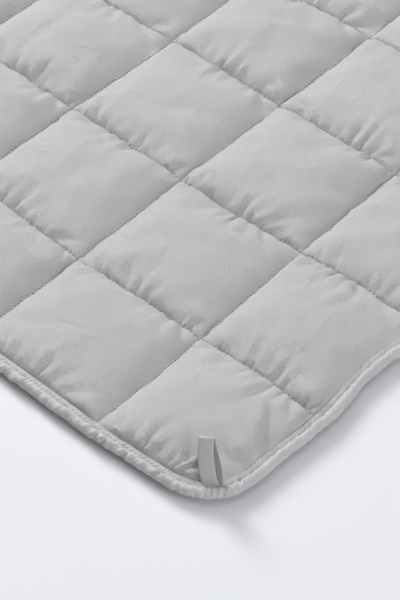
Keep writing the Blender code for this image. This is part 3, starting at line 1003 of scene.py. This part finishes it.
def smooth_line(points, count):
    """A smooth curve through points: between two of them it is the cubic that keeps their slopes."""
    gaps = np.linalg.norm(np.diff(points, axis=0), axis=1)
    place_on = np.concatenate([[0], np.cumsum(gaps)])
    slopes = np.gradient(points, place_on, axis=0)
    wanted = np.linspace(0, place_on[-1], count)
    first = np.clip(np.searchsorted(place_on, wanted, side="right") - 1, 0, len(points) - 2)
    gap = gaps[first][:, None]
    share = ((wanted - place_on[first]) / gaps[first])[:, None]
    a, b = points[first], points[first + 1]
    slope_a, slope_b = slopes[first] * gap, slopes[first + 1] * gap
    return (
        (2 * share**3 - 3 * share**2 + 1) * a + (share**3 - 2 * share**2 + share) * slope_a
        + (3 * share**2 - 2 * share**3) * b + (share**3 - share**2) * slope_b
    )


print("a loop's middle line is measured at", LOOP_STATIONS, "places")

# %% Fold a tape and stand it at each corner
def loop_stand(corner):
    """Where a loop's foot is, and its three directions: up the loop, out of its back, and sideways."""
    angle = math.radians(45 + corner["turn"])
    inward = np.array([-corner["x"] * math.cos(angle), -corner["y"] * math.sin(angle), 0])
    up = np.array([0, 0, 1.0])
    middle = np.array([-corner["x"], -corner["y"], 0]) / math.sqrt(2)
    centre = np.array([
        corner["x"] * (HALF_WIDTH - CORNER_RADIUS), corner["y"] * (HALF_LENGTH - CORNER_RADIUS), 0
    ])
    foot = centre - middle * (CORNER_RADIUS - LOOP_FOOT_INSET) + up * LOOP_FOOT_HEIGHT
    axis = inward * math.cos(LOOP_LEAN) + up * math.sin(LOOP_LEAN)
    away = inward * math.sin(LOOP_LEAN) - up * math.cos(LOOP_LEAN)
    return foot, axis, away, np.cross(up, inward)


def make_loop(name, corner):
    """The tape round its middle line: two faces half a thickness off it, thinner at the edges by the
    square root of one minus an eighth power. It curls a little across, and narrows at the fold."""
    front = [(row["along"], -row["front"], row["front_slip"]) for row in LOOP_LEGS]
    back = [(row["along"], row["back"], row["back_slip"]) for row in reversed(LOOP_LEGS)]
    line = smooth_line(np.array([*front, LOOP_FOLD, *back]) / 1000, LOOP_STATIONS)
    line, slip = line[:, :2], corner["slip"] * line[:, 2]
    heading = np.gradient(line, axis=0)
    heading /= np.linalg.norm(heading, axis=1, keepdims=True)
    normal = np.stack([heading[:, 1], -heading[:, 0]], axis=1)
    across = np.linspace(-1, 1, LOOP_POINTS)
    thick = LOOP_TAPE / 2 * np.sqrt(np.clip(1.04 - across**8, 0.12, 1))
    round_across = np.concatenate([across, across[::-1]])
    round_thick = np.concatenate([thick, -thick[::-1]])
    curl = LOOP_CURL * round_across**2
    flat = line[:, None] - normal[:, None] * (round_thick + curl)[None, :, None]
    from_fold = np.arange(LOOP_STATIONS) - (LOOP_STATIONS - 1) / 2
    width = LOOP_WIDTH / 2 * (1 - LOOP_WAIST * bell(from_fold, WAIST_REACH))
    foot, axis, away, sideways = loop_stand(corner)
    points = (
        foot + flat[..., :1] * axis + flat[..., 1:] * away
        + (width[:, None] * round_across + slip[:, None])[..., None] * sideways
    )
    numbers = np.arange(points[..., 0].size).reshape(points.shape[:2])
    faces = grid_faces(numbers, False, True)
    ends = [numbers[:1, ::-1], numbers[-1:]]
    arc = np.linspace(0, 2 * LOOP_FOLD_AT, LOOP_STATIONS)
    # the inner face's flat map lies two widths across, so that the material can paint shade on it
    inner_face = np.repeat([2, 0], LOOP_POINTS) * LOOP_WIDTH
    flat_across = round_across * LOOP_WIDTH / 2 + inner_face
    flat_map = np.stack(np.broadcast_arrays(flat_across, arc[:, None]), axis=-1)
    return make_piece(name + "_tape", points, [faces, *ends], flat_map)


loops = {name: make_loop(name, corner) for name, corner in LOOPS.items()}
print("each loop has", triangles(loops["loop_near_left"]), "triangles")

# %% [markdown]
# ## The camera
#
# The camera stands high above the near left corner and looks down at it through a long lens, which
# keeps the far pockets almost as large as the near ones.

# %% Camera
SENSOR_WIDTH = 36


def look(target, yaw, elevation, distance, roll, lens):
    """A camera at this distance and direction from a point, turned about its own line of sight."""
    away = np.array([
        math.cos(elevation) * math.cos(yaw), math.cos(elevation) * math.sin(yaw), math.sin(elevation)
    ])
    level = np.cross(-away, [0, 0, 1])
    level /= np.linalg.norm(level)
    upright = np.cross(level, -away)
    right = math.cos(roll) * level + math.sin(roll) * upright
    above = math.cos(roll) * upright - math.sin(roll) * level
    data = bpy.data.cameras.new("camera")
    data.lens, data.sensor_width = lens, SENSOR_WIDTH
    data.clip_start, data.clip_end = 0.05, 50
    camera = bpy.data.objects.new("camera", data)
    bpy.context.scene.collection.objects.link(camera)
    turned = Matrix(np.stack([right, above, away], axis=1).tolist()).to_4x4()
    camera.matrix_world = Matrix.Translation(np.array(target) + distance * away) @ turned
    return camera


bpy.context.scene.camera = look(
    target=(-0.45619, -0.76764, 0.0075), yaw=-2.4698, elevation=0.81524, roll=0.058118,
    distance=1.43544, lens=114.67,
)
print("the camera stands at", [round(value, 2) for value in bpy.context.scene.camera.location])

# %% [markdown]
# ## Shader nodes, written as formulas
#
# A material is a graph of nodes. Most of ours are short formulas on coordinates in metres, so a few
# small helpers are enough: one adds a node and fills or links its inputs, some do one step of
# arithmetic, and one makes a node group, a formula with a name that several materials can use.

# %% Helpers for nodes
def add(tree, kind, inputs, **settings):
    """A node of this kind. Each input is given a number, a colour or another node's output."""
    made = tree.nodes.new("ShaderNode" + kind)
    for name, value in settings.items():
        setattr(made, name, value)
    for name, value in inputs.items():
        if isinstance(value, bpy.types.NodeSocket):
            tree.links.new(value, made.inputs[name])
        else:
            made.inputs[name].default_value = value
    return made


def step(tree, operation, first, second=0.0):
    """The result of one arithmetic step."""
    return add(tree, "Math", {0: first, 1: second}, operation=operation).outputs[0]


def plus(tree, first, second):
    """First plus second."""
    return step(tree, "ADD", first, second)


def minus(tree, first, second):
    """First minus second."""
    return step(tree, "SUBTRACT", first, second)


def times(tree, first, second):
    """First times second."""
    return step(tree, "MULTIPLY", first, second)


def over(tree, first, second):
    """First over second."""
    return step(tree, "DIVIDE", first, second)


def scaled(tree, colour, share):
    """A colour or a place times a number."""
    return add(tree, "VectorMath", {0: colour, "Scale": share}, operation="SCALE").outputs[0]


def axes(tree, where):
    """The coordinates of a place, one by one."""
    return add(tree, "SeparateXYZ", {0: where}).outputs


def noise(tree, where, scale, detail, **inputs):
    """Soft unevenness from 0 to 1, of so many lumps to a metre."""
    made = add(tree, "TexNoise", {"Vector": where, "Scale": scale, "Detail": detail, **inputs})
    return made.outputs["Fac"]


def make_group(name, inputs, outputs):
    """A node group with these sockets: its tree, the node it reads from and the one it fills."""
    tree = bpy.data.node_groups.new(name, "ShaderNodeTree")
    for socket, kind, value in inputs:
        made = tree.interface.new_socket(socket, in_out="INPUT", socket_type="NodeSocket" + kind)
        if value is not None:
            made.default_value = value
    for socket, kind in outputs:
        tree.interface.new_socket(socket, in_out="OUTPUT", socket_type="NodeSocket" + kind)
    return tree, tree.nodes.new("NodeGroupInput"), tree.nodes.new("NodeGroupOutput")


print("helpers for nodes:", [helper.__name__ for helper in (add, step, scaled, axes, noise)])

# %% [markdown]
# ## What all of the cloth shares
#
# Brushed cotton has three scales of unevenness. Over a hand's width it is a shade lighter or darker,
# every few millimetres there is a fleck where fibres stand up, and right down at the threads there is
# the weave itself. The group puts out a colour, a roughness and a height, and each material sets its
# own sizes. The threads are a plain weave: the product of two sines, one along each thread.

# %% The group for cloth
def cloth_group():
    """Colour: the dye times one plus the mottle and the flecks. Height: threads plus the flecks. The
    lumps of the mottle are 14 to a metre, and Threads and Flecks say how many of those there are."""
    tree, given, made = make_group(
        "woven_cloth",
        (("Place", "Vector", None), ("Dye", "Color", (0.5, 0.5, 0.5, 1)), ("Threads", "Float", 1800.0),
         ("Flecks", "Float", 420.0), ("Mottle", "Float", 0.05), ("Fleck Shade", "Float", 0.10),
         ("Thread Height", "Float", 0.4), ("Worn", "Float", 0.85)),
        (("Colour", "Color"), ("Roughness", "Float"), ("Height", "Float")),
    )
    where, take = given.outputs["Place"], given.outputs
    broad = noise(tree, where, 14.0, 3.0, Roughness=0.6)
    flecks = noise(tree, where, take["Flecks"], 4.0, Roughness=0.7)
    mottle = times(tree, minus(tree, broad, 0.5), take["Mottle"])
    fleck = times(tree, minus(tree, flecks, 0.5), take["Fleck Shade"])
    tint = scaled(tree, take["Dye"], plus(tree, plus(tree, mottle, fleck), 1.0))
    counted = axes(tree, scaled(tree, where, take["Threads"]))
    warp, weft = (step(tree, "SINE", times(tree, counted[axis], math.pi)) for axis in (0, 1))
    threads = times(tree, times(tree, warp, weft), take["Thread Height"])
    rough = plus(tree, take["Worn"], times(tree, fleck, 1.5))
    tree.links.new(tint, made.inputs["Colour"])
    tree.links.new(rough, made.inputs["Roughness"])
    tree.links.new(plus(tree, threads, flecks), made.inputs["Height"])
    return tree


WOVEN_CLOTH = cloth_group()
outputs = [item.name for item in WOVEN_CLOTH.interface.items_tree if item.in_out == "OUTPUT"]
print("group", WOVEN_CLOTH.name, "puts out", outputs)

# %% [markdown]
# ## Where a row of stitches pulls the cloth
#
# Beside a seam the cloth is pinched at every needle hole and puffs out between two holes, so the edge
# of each pocket is a row of small teeth. The larger puffs are meshes. This group makes the finer
# teeth on both sides of a seam, from the flat map: along the seam the size of a sine, and across it
# e to the minus distance over reach. It also puts out a mask with which the materials paint shade
# into the needle holes.

# %% The group for the teeth beside a seam
def teeth_group():
    """Height of the teeth beside seams that lie at every whole number of pitches of Across, and a mask
    of painted shade: how near a place is to a needle hole, where little light gets in."""
    tree, given, made = make_group(
        "stitch_teeth",
        (("Across", "Float", 0.0), ("Along", "Float", 0.0), ("Pitch", "Float", PITCH),
         ("Stitch", "Float", STITCH_PITCH), ("Reach", "Float", 0.002)),
        (("Height", "Float"), ("Hole Shade", "Float")),
    )
    take = given.outputs
    share = step(tree, "FRACT", plus(tree, over(tree, take["Across"], take["Pitch"]), 0.5))
    distance = times(tree, step(tree, "ABSOLUTE", minus(tree, share, 0.5)), take["Pitch"])
    nearness = step(tree, "EXPONENT", times(tree, over(tree, distance, take["Reach"]), -1.0))
    turns = over(tree, take["Along"], take["Stitch"])
    puff = step(tree, "ABSOLUTE", step(tree, "SINE", times(tree, turns, math.pi)))
    number = step(tree, "FLOOR", plus(tree, turns, 0.5))
    each = add(tree, "TexWhiteNoise", {"W": number}, noise_dimensions="1D").outputs["Value"]
    uneven = plus(tree, times(tree, each, 0.9), 0.3)
    tree.links.new(times(tree, nearness, puff), made.inputs["Height"])
    # painted shade: the mask is darkest at each needle hole, and uneven from hole to hole
    hole = step(tree, "POWER", minus(tree, 1.0, puff), 1.5)
    tree.links.new(times(tree, times(tree, nearness, hole), uneven), made.inputs["Hole Shade"])
    return tree


STITCH_TEETH = teeth_group()
print("group", STITCH_TEETH.name, "has", len(STITCH_TEETH.nodes), "nodes")

# %% [markdown]
# ## The materials
#
# The cover is brushed cotton. The binding is the same cloth cut as a tape, with fainter flecks, and it
# is rubbed a little lighter. The loop is a ribbed tape, whose ribs run along it. The thread is
# smooth and a shade darker. All of them have a soft sheen, which is light caught by standing fibres.

# %% Helpers for the cloth materials
def start_material(name, sheen):
    """A material with its shader, and the constants that are the same all over it."""
    material = bpy.data.materials.new(name)
    material.use_nodes = True
    tree = material.node_tree
    shader = tree.nodes["Principled BSDF"]
    shader.inputs["Sheen Weight"].default_value = sheen
    shader.inputs["Sheen Roughness"].default_value = 0.5
    shader.inputs["Specular IOR Level"].default_value = 0.2  # cloth is not glossy
    return material, tree, shader


def on_pattern(tree):
    """Coordinates in metres on the cloth as it was cut, from the piece's own flat map."""
    return add(tree, "UVMap", {}, uv_map="pattern").outputs["UV"]


def on_object(tree):
    """Coordinates in metres in the object's own space."""
    return add(tree, "TexCoord", {}).outputs["Object"]


def weave_in(tree, shader, where, dye, depth, **values):
    """Put the cloth group on a shader, with a grey dye, and return the bump that it makes."""
    cloth = tree.nodes.new("ShaderNodeGroup")
    cloth.node_tree = WOVEN_CLOTH
    tree.links.new(where, cloth.inputs["Place"])
    cloth.inputs["Dye"].default_value = (dye, dye, dye, 1)
    for name, value in values.items():
        cloth.inputs[name.replace("_", " ")].default_value = value
    tree.links.new(cloth.outputs["Colour"], shader.inputs["Base Color"])
    tree.links.new(cloth.outputs["Roughness"], shader.inputs["Roughness"])
    bump = add(tree, "Bump", {"Height": cloth.outputs["Height"], "Distance": depth, "Strength": 1.0})
    tree.links.new(bump.outputs["Normal"], shader.inputs["Normal"])
    return bump


def teeth_on(tree, across, along, pitch, reach):
    """The teeth beside one set of seams: their height and the holes between."""
    teeth = tree.nodes.new("ShaderNodeGroup")
    teeth.node_tree = STITCH_TEETH
    tree.links.new(across, teeth.inputs["Across"])
    tree.links.new(along, teeth.inputs["Along"])
    teeth.inputs["Pitch"].default_value = pitch
    teeth.inputs["Stitch"].default_value = STITCH_PITCH
    teeth.inputs["Reach"].default_value = reach
    return teeth.outputs["Height"], teeth.outputs["Hole Shade"]


def darken(tree, shader, mask, depth):
    """Multiply the shader's colour by one minus depth times this mask."""
    colour = shader.inputs["Base Color"].links[0].from_socket
    darker = scaled(tree, colour, minus(tree, 1.0, times(tree, mask, depth)))
    tree.links.new(darker, shader.inputs["Base Color"])


def bump_under(tree, fine, height, depth):
    """A second bump, whose normal the first one starts from."""
    coarse = add(tree, "Bump", {"Height": height, "Distance": depth, "Strength": 1.0})
    tree.links.new(coarse.outputs["Normal"], fine.inputs["Normal"])


print("shared groups:", [group.name for group in bpy.data.node_groups])

# %% Brushed cotton for the cover
def make_cover_material():
    """Brushed cotton with teeth beside its seams, and painted shade in their needle holes. Their holes
    stray a little along the seam, with a noise of so many lumps to a metre."""
    material, tree, shader = start_material("brushed_cotton", sheen=0.12)
    where = on_pattern(tree)
    fine = weave_in(tree, shader, where, dye=0.563, depth=0.00032,
                    Threads=1700.0, Flecks=600.0, Mottle=0.06, Fleck_Shade=0.42)
    along_x, along_y = axes(tree, where)[:2]
    stagger = times(tree, noise(tree, where, 160.0, 1.0), 0.0016)
    half_over = plus(tree, along_y, PITCH / 2)  # ROWS is odd: no seam through the middle
    lengthwise = teeth_on(tree, along_x, plus(tree, along_y, stagger), PITCH, reach=0.0011)
    crosswise = teeth_on(tree, half_over, plus(tree, along_x, stagger), PITCH, reach=0.0008)
    # painted shade: the colour is darkened at the needle holes beside both sets of seams
    darken(tree, shader, lengthwise[1], 0.40)
    darken(tree, shader, crosswise[1], 0.12)
    bump_under(tree, fine, plus(tree, lengthwise[0], crosswise[0]), 0.0007)
    return material


cover_look = make_cover_material()
print(cover_look.name, "has", len(cover_look.node_tree.nodes), "nodes")

# %% Cotton tape for the binding
SHADED_STRIP_OFFSET, SHADED_STRIP_HALF_WIDTH = 0.0010, 0.0018


def make_binding_material():
    """Cotton tape. Its row of stitches lies in a groove, the puffs between them slant, and shade is
    painted into the needle holes. Painted shade also makes the low strip between the tape's inner
    edge and the roll a little darker: e to the minus fourth power of the distance from the strip's
    middle over its half width."""
    material, tree, shader = start_material("binding_tape_cotton", sheen=0.12)
    where = on_pattern(tree)
    fine = weave_in(tree, shader, where, dye=0.605, depth=0.00016,
                    Threads=1500.0, Flecks=520.0, Mottle=0.05, Fleck_Shade=0.22)
    along, around = axes(tree, where)[:2]
    from_groove = minus(tree, around, GROOVE_AT)
    slanted = plus(tree, along, times(tree, from_groove, SLANT))
    height, holes = teeth_on(tree, from_groove, slanted, pitch=1.0, reach=0.0016)
    # painted shade: the colour is darkened at the needle holes along the groove
    darken(tree, shader, holes, 0.32)
    from_strip = over(tree, plus(tree, from_groove, SHADED_STRIP_OFFSET), SHADED_STRIP_HALF_WIDTH)
    fourth = step(tree, "POWER", step(tree, "ABSOLUTE", from_strip), 4.0)
    # painted shade: the low strip between the tape's inner edge and the roll is darkened
    darken(tree, shader, step(tree, "EXPONENT", times(tree, fourth, -1.0)), 0.07)
    crinkled = teeth_on(tree, from_groove, slanted, pitch=1.0, reach=0.0060)[0]
    bump_under(tree, fine, plus(tree, height, crinkled), 0.0003)
    return material


binding_look = make_binding_material()
print(binding_look.name, "has", len(binding_look.node_tree.nodes), "nodes")

# %% Ribbed tape for the loops
RIB_PITCH, FOLD_HIGHLIGHT_WIDTH = 0.0013, 0.0014


def make_loop_material():
    """Ribbed tape: a rib is a sine across the tape, and the same sine paints a faint shade of the ribs
    into the colour. A painted highlight makes the tape lighter along the fold, and painted shade
    makes the inner face darker, where the two legs shade it."""
    material, tree, shader = start_material("ribbed_loop_tape", sheen=0.10)
    where = on_pattern(tree)
    fine = weave_in(tree, shader, where, dye=0.52, depth=0.00012,
                    Threads=2400.0, Flecks=600.0, Mottle=0.04, Fleck_Shade=0.12)
    across, along = axes(tree, where)[:2]
    rib = step(tree, "SINE", times(tree, across, 2 * math.pi / RIB_PITCH))
    # painted shade: the ribs' sine darkens the colour a little
    darken(tree, shader, rib, 0.015)
    # painted shade: the inner face, whose flat map lies past one tape width, is darker where the legs
    # shade it
    darken(tree, shader, step(tree, "GREATER_THAN", across, LOOP_WIDTH), 0.35)
    # painted highlight: a darkening by a negative depth lightens the tape along its fold
    from_fold = over(tree, minus(tree, along, LOOP_FOLD_AT), FOLD_HIGHLIGHT_WIDTH)
    fold_highlight = step(tree, "EXPONENT", times(tree, times(tree, from_fold, from_fold), -1.0))
    darken(tree, shader, fold_highlight, -0.22)
    bump_under(tree, fine, rib, 0.00003)
    return material


loop_look = make_loop_material()
print(loop_look.name, "has", len(loop_look.node_tree.nodes), "nodes")

# %% Thread, and each piece's material
def make_thread_material():
    """Twisted thread: a shade darker, a little smoother, with flecks at the size of its ply."""
    material, tree, shader = start_material("twisted_thread", sheen=0.05)
    weave_in(tree, shader, on_object(tree), dye=0.53, depth=0.00005,
             Threads=2500.0, Flecks=1500.0, Mottle=0.03, Fleck_Shade=0.20, Worn=0.7)
    return material


sewn_rows = (seam_stitches, under_stitches, binding_stitches, binding_stitches_under)
for material, pieces in (
    (cover_look, (body, *puffs)), (binding_look, (binding,)), (loop_look, loops.values()),
    (make_thread_material(), sewn_rows),
):
    for piece in pieces:
        piece.data.materials.append(material)
print("materials:", sorted(material.name for material in bpy.data.materials if material.users))

# %% [markdown]
# ## Floor and light
#
# The blanket lies on a plain pale floor. A studio picture of something pale on pale needs light from
# behind, so that every crown has a shaded near side. Two soft keys and a broader light stand on the
# far side, a little to the right. Broad fills from the near side, from the left and from above keep
# the shadows soft. The floor glows far from the lights, and only the camera sees the pale room.

# %% Floor
FLOOR_HALF, FLOOR_HEIGHT = 15, -0.0004
GLOW_START, GLOW_END, GLOW = 2.0, 7.0, 0.62


def make_floor():
    """A wide flat sheet just under the blanket, with the faintest unevenness of painted board. Far from
    the lights it glows a little, so that it stays pale to its end."""
    corners = [(-1, -1), (1, -1), (1, 1), (-1, 1)]
    points = np.array([[FLOOR_HALF * x, FLOOR_HALF * y, FLOOR_HEIGHT] for x, y in corners])
    floor = make_piece("floor", points, [np.array([[0, 1, 2, 3]])])
    material, tree, shader = start_material("pale_floor", sheen=0.0)
    where = on_object(tree)
    shades = {"Color1": (0.83, 0.84, 0.86, 1), "Color2": (0.85, 0.86, 0.88, 1)}
    shade = add(tree, "MixRGB", {"Fac": noise(tree, where, 3.0, 2.0), **shades})
    tree.links.new(shade.outputs[0], shader.inputs["Base Color"])
    shader.inputs["Roughness"].default_value = 0.8
    distance = add(tree, "VectorMath", {0: where}, operation="LENGTH").outputs["Value"]
    reach = {0: distance, 1: GLOW_START, 2: GLOW_END, 3: 0.0, 4: GLOW}
    far = add(tree, "MapRange", reach, interpolation_type="SMOOTHSTEP").outputs[0]
    tree.links.new(scaled(tree, (0.97, 0.98, 1.0), far), shader.inputs["Emission Color"])
    shader.inputs["Emission Strength"].default_value = 1.0
    floor.data.materials.append(material)


make_floor()
print("the floor is", 2 * FLOOR_HALF, "m wide")

# %% Lights
LIT_PLACE = Vector((-0.4, -0.7, 0))
LIGHTS = table(
    # compass in degrees from the far side towards the right, elevation in degrees, distance and size
    # in metres, power in watts
    "name compass elevation distance size power colour",
    ("low key", 17, 28, 5.0, 1.3, 98, (1.005, 1.0, 0.993)),
    ("high key", 17, 38, 5.0, 1.5, 109, (1.005, 1.0, 0.993)),
    ("back", 17, 52, 5.0, 3.0, 54, (1.0, 1.0, 1.0)),
    ("near fill", 180, 25, 5.0, 4.0, 120, (0.985, 0.99, 1.015)),
    ("left fill", -135, 35, 5.0, 4.0, 26, (1.0, 1.0, 1.0)),
    ("overhead", 0, 89, 5.0, 3.0, 55, (0.99, 0.995, 1.01)),
)


def add_area(name, compass, elevation, distance, size, power, colour):
    """A square soft light shining at the near left corner. Its direction is the sine and the cosine of
    the compass times the cosine of the elevation, and upwards the elevation's sine."""
    data = bpy.data.lights.new(name, "AREA")
    data.shape, data.size, data.energy, data.color = "SQUARE", size, power, colour
    light = bpy.data.objects.new(name, data)
    bpy.context.scene.collection.objects.link(light)
    turn, rise = math.radians(compass), math.radians(elevation)
    flat = math.cos(rise)
    way = Vector((flat * math.sin(turn), flat * math.cos(turn), math.sin(rise))).normalized()
    light.location = LIT_PLACE + way * distance
    light.rotation_euler = way.to_track_quat("Z", "Y").to_euler()


for row in LIGHTS:
    add_area(**row)
print("lights:", {row["name"]: row["power"] for row in LIGHTS})

# %% The room
ROOM_SEEN, ROOM_LIGHT = 0.7, 0.01
world = bpy.data.worlds.new("studio")
bpy.context.scene.world = world
world.use_nodes = True
background = world.node_tree.nodes["Background"]
background.inputs["Color"].default_value = (0.93, 0.96, 1.0, 1)
seen = add(world.node_tree, "LightPath", {}).outputs["Is Camera Ray"]
strength = plus(world.node_tree, times(world.node_tree, seen, ROOM_SEEN), ROOM_LIGHT)
world.node_tree.links.new(strength, background.inputs["Strength"])
bpy.context.scene.view_settings.view_transform = "Standard"
print("the room lights with", ROOM_LIGHT, "and looks", ROOM_SEEN + ROOM_LIGHT, "bright")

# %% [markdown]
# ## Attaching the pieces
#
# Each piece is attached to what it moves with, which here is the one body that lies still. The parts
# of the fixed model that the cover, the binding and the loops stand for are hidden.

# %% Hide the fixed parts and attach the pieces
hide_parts("quilted_body")
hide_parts("binding")
for name, loop in loops.items():
    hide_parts(name)
for piece in [body, binding, *loops.values()]:
    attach(piece, "root")
for piece in (*puffs, *sewn_rows):
    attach(piece, "root")
